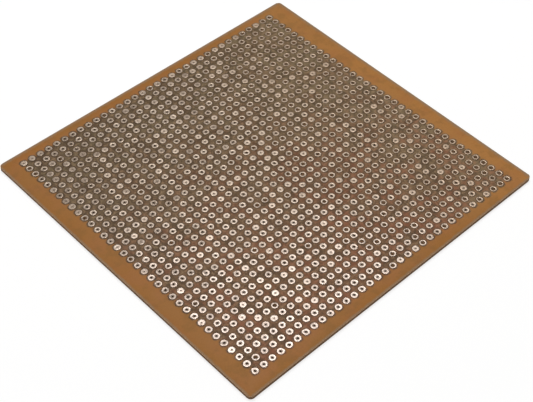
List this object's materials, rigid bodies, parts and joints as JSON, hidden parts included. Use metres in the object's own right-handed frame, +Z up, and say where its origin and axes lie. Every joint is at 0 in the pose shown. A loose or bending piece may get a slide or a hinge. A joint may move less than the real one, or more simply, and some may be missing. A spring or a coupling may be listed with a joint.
{
  "type": "dot prototype board",
  "caption": "Flat brown phenolic-paper prototype board, drilled all over on a 2.54 mm grid, with a separate tinned copper ring round each hole.",
  "frame": {"origin": "middle of the sheet's bounding box on the plain underside, which lies on the surface", "axes": "+Z up through the sheet to the rings, +X along a row of holes, +Y from row to row"},
  "size_m": [0.096, 0.0946, 0.0013],
  "materials": {
    "laminate": "satin phenolic paper, faintly mottled",
    "tinned_copper": "dull hot-tinned copper"
  },
  "bodies": {
    "root": {"laminate": "laminate", "rings_row_01": "tinned_copper", "rings_row_02": "tinned_copper", "rings_row_03": "tinned_copper", "rings_row_04": "tinned_copper", "rings_row_05": "tinned_copper", "rings_row_06": "tinned_copper", "rings_row_07": "tinned_copper", "rings_row_08": "tinned_copper", "rings_row_09": "tinned_copper", "rings_row_10": "tinned_copper", "rings_row_11": "tinned_copper", "rings_row_12": "tinned_copper", "rings_row_13": "tinned_copper", "rings_row_14": "tinned_copper", "rings_row_15": "tinned_copper", "rings_row_16": "tinned_copper", "rings_row_17": "tinned_copper", "rings_row_18": "tinned_copper", "rings_row_19": "tinned_copper", "rings_row_20": "tinned_copper", "rings_row_21": "tinned_copper", "rings_row_22": "tinned_copper", "rings_row_23": "tinned_copper", "rings_row_24": "tinned_copper", "rings_row_25": "tinned_copper", "rings_row_26": "tinned_copper", "rings_row_27": "tinned_copper", "rings_row_28": "tinned_copper", "rings_row_29": "tinned_copper", "rings_row_30": "tinned_copper", "rings_row_31": "tinned_copper", "rings_row_32": "tinned_copper", "rings_row_33": "tinned_copper", "rings_row_34": "tinned_copper", "rings_row_35": "tinned_copper"}
  },
  "joints": []
}
